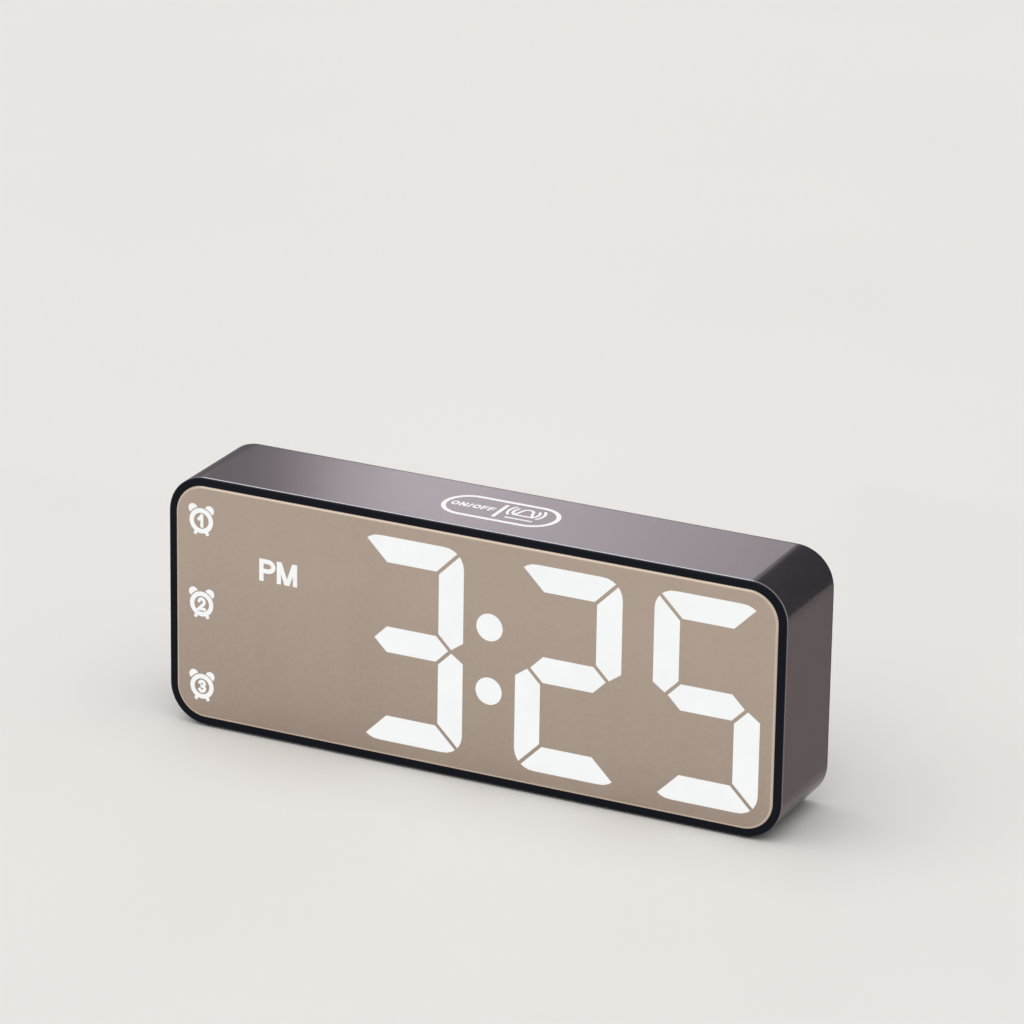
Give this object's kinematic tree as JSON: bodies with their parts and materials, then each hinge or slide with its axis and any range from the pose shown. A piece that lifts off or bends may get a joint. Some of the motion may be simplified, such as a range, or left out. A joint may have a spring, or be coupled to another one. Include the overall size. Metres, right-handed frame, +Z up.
{
  "type": "digital led desk clock",
  "caption": "Flat rounded-block desk clock with a mirror lens over a large seven-segment display, a touch key on top, and rear keys, battery bay and power inlet.",
  "frame": {"origin": "under the middle of the case, on the surface that the feet stand on", "axes": "+Z up, the lens faces -Y, +X to the right seen from the front"},
  "size_m": [0.16, 0.028, 0.0635],
  "materials": {
    "case_grey": "satin",
    "rim_black": "gloss",
    "lens_mirror": "polished",
    "cover_black": "satin",
    "key_black": "satin",
    "foot_rubber": "matte",
    "tape_black": "matte",
    "mask_black": "matte",
    "diffuser_white": "satin",
    "box_white": "matte",
    "lamp_yellow": "gloss",
    "board_green": "satin",
    "chip_black": "matte",
    "plunger_black": "satin",
    "screw_steel": "satin",
    "contact_nickel": "satin",
    "inlet_steel": "satin",
    "copper_foil": "satin",
    "wire_red": "satin",
    "wire_white": "satin",
    "ribbon_grey": "satin",
    "header_white": "satin"
  },
  "bodies": {
    "case": {"front_bezel": "rim_black", "mirror_lens": "lens_mirror", "lens_tape": "tape_black", "segment_mask": "mask_black", "diffuser_sheet": "diffuser_white", "light_box": "box_white", "led_chips": "lamp_yellow", "display_board": "board_green", "board_screws": "screw_steel", "controller_chip": "chip_black", "driver_chips": "chip_black", "housing": "case_grey", "feet": "foot_rubber", "touch_plate": "copper_foil", "touch_lead": "wire_white", "rear_cover": "cover_black", "case_screws": "screw_steel", "battery_contact_minus": "contact_nickel", "battery_contact_bridges": "contact_nickel", "battery_contact_plus": "contact_nickel", "battery_leads": "wire_red", "key_board": "board_green", "key_board_screws": "screw_steel", "switch_bodies": "chip_black", "usb_shell": "inlet_steel", "usb_tongue": "chip_black", "buzzer": "chip_black", "ribbon_headers": "header_white", "ribbon_cable": "ribbon_grey"},
    "battery_door": {"battery_door": "cover_black"},
    "set_key": {"set_button": "key_black", "set_plunger": "plunger_black"},
    "alarm_key": {"alarm_button": "key_black", "alarm_plunger": "plunger_black"},
    "up_key": {"up_button": "key_black", "up_plunger": "plunger_black"},
    "down_key": {"down_button": "key_black", "down_plunger": "plunger_black"},
    "light_key": {"light_button": "key_black", "light_plunger": "plunger_black"}
  },
  "joints": [
    {"name": "door_swing", "type": "hinge", "parent": "case", "child": "battery_door", "pos_m": [0.0383, 0.0139, 0.00545], "axis": [-1, 0, 0], "range_deg": [0, 80]},
    {"name": "set_press", "type": "slide", "parent": "case", "child": "set_key", "axis": [0, -1, 0], "range_m": [0, 0.0005], "stiffness_N_per_m": 400, "springref_m": -0.0015},
    {"name": "alarm_press", "type": "slide", "parent": "case", "child": "alarm_key", "axis": [0, -1, 0], "range_m": [0, 0.0005], "stiffness_N_per_m": 400, "springref_m": -0.0015},
    {"name": "up_press", "type": "slide", "parent": "case", "child": "up_key", "axis": [0, -1, 0], "range_m": [0, 0.0005], "stiffness_N_per_m": 400, "springref_m": -0.0015},
    {"name": "down_press", "type": "slide", "parent": "case", "child": "down_key", "axis": [0, -1, 0], "range_m": [0, 0.0005], "stiffness_N_per_m": 400, "springref_m": -0.0015},
    {"name": "light_press", "type": "slide", "parent": "case", "child": "light_key", "axis": [0, -1, 0], "range_m": [0, 0.0005], "stiffness_N_per_m": 400, "springref_m": -0.0015}
  ]
}
